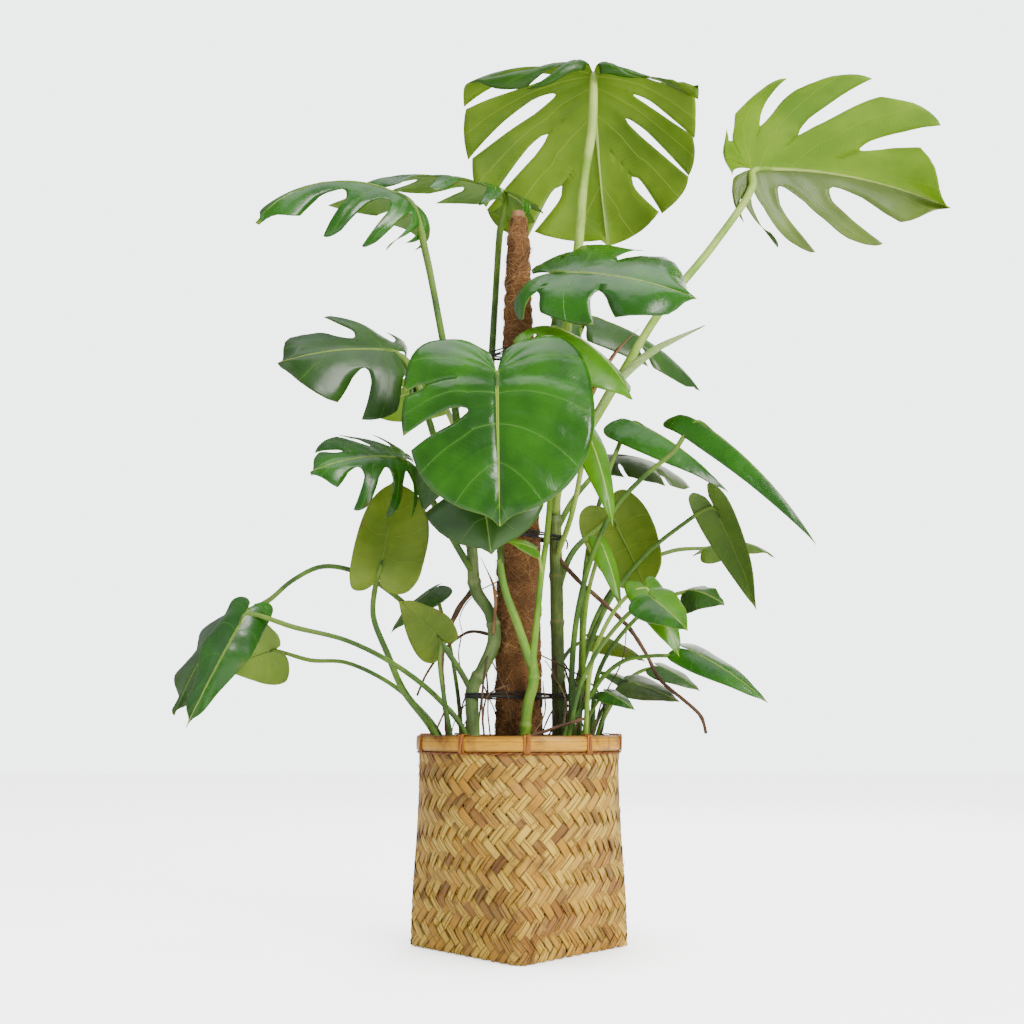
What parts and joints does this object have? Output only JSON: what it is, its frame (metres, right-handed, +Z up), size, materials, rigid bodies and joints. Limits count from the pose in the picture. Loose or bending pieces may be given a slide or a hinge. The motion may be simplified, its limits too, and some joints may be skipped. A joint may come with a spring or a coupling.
{
  "type": "potted plant",
  "caption": "Tall split-leaf climbing houseplant on a coir pole, standing in a woven bamboo basket with a round bound rim.",
  "frame": {"origin": "middle of the basket's underside, on the floor", "axes": "+Z up along the pole, +Y to the back, +X to the right as seen from the front"},
  "size_m": [1.1887, 0.4632, 1.3536],
  "materials": {
    "leaf_deep": "glossy deep green leaf",
    "leaf_green": "satin green leaf",
    "leaf_bright": "satin bright young leaf",
    "leaf_olive": "matt olive leaf, pale underside showing",
    "stem": "waxy green stem",
    "dry_root": "dry brown aerial root",
    "dry_sheath": "papery dried leaf sheath",
    "tie": "black soft tie",
    "stake_wood": "bare wood",
    "coir": "matt brown coconut fibre",
    "soil": "dark potting mix",
    "pot_plastic": "black thin plastic",
    "bamboo": "satin woven bamboo",
    "rim_cane": "polished bamboo and cane"
  },
  "bodies": {
    "root": {"basket_body": "bamboo", "basket_rim_inner": "rim_cane", "basket_rim_outer": "rim_cane", "coir_sleeve": "coir", "dry_sheath_left": "dry_sheath", "dry_sheath_right": "dry_sheath", "leaf_back_lobed": "leaf_green", "leaf_basket_dark": "leaf_deep", "leaf_basket_left": "leaf_olive", "leaf_behind_right": "leaf_deep", "leaf_centre_right": "leaf_deep", "leaf_centre_small": "leaf_green", "leaf_crown": "leaf_green", "leaf_far_left_dark": "leaf_deep", "leaf_far_left_folded": "leaf_green", "leaf_far_left_pale": "leaf_olive", "leaf_front_heart": "leaf_deep", "leaf_front_under": "leaf_green", "leaf_hanging_narrow": "leaf_bright", "leaf_left_behind": "leaf_olive", "leaf_left_heart": "leaf_olive", "leaf_left_low": "leaf_green", "leaf_left_mid": "leaf_green", "leaf_low_back": "leaf_deep", "leaf_low_dark": "leaf_deep", "leaf_low_front": "leaf_green", "leaf_low_olive": "leaf_olive", "leaf_low_pale": "leaf_olive", "leaf_middle_narrow": "leaf_bright", "leaf_middle_olive": "leaf_olive", "leaf_pole_small": "leaf_bright", "leaf_right_curl": "leaf_olive", "leaf_right_dark": "leaf_deep", "leaf_right_drooping": "leaf_olive", "leaf_right_high": "leaf_green", "leaf_right_long": "leaf_green", "leaf_right_low": "leaf_green", "leaf_spear": "leaf_bright", "leaf_upper_left_back": "leaf_deep", "leaf_upper_left_front": "leaf_green", "leaf_upper_right": "leaf_green", "leaf_young_bright": "leaf_bright", "leaf_young_glossy": "leaf_deep", "nursery_pot": "pot_plastic", "pole_stake": "stake_wood", "rim_lashing": "rim_cane", "root_front": "dry_root", "root_left_thick": "dry_root", "root_left_thin": "dry_root", "root_long": "dry_root", "soil": "soil", "stem_front": "stem", "stem_left": "stem", "stem_main": "stem", "tie_lower": "tie", "tie_middle": "tie", "tie_upper": "tie"}
  },
  "joints": []
}
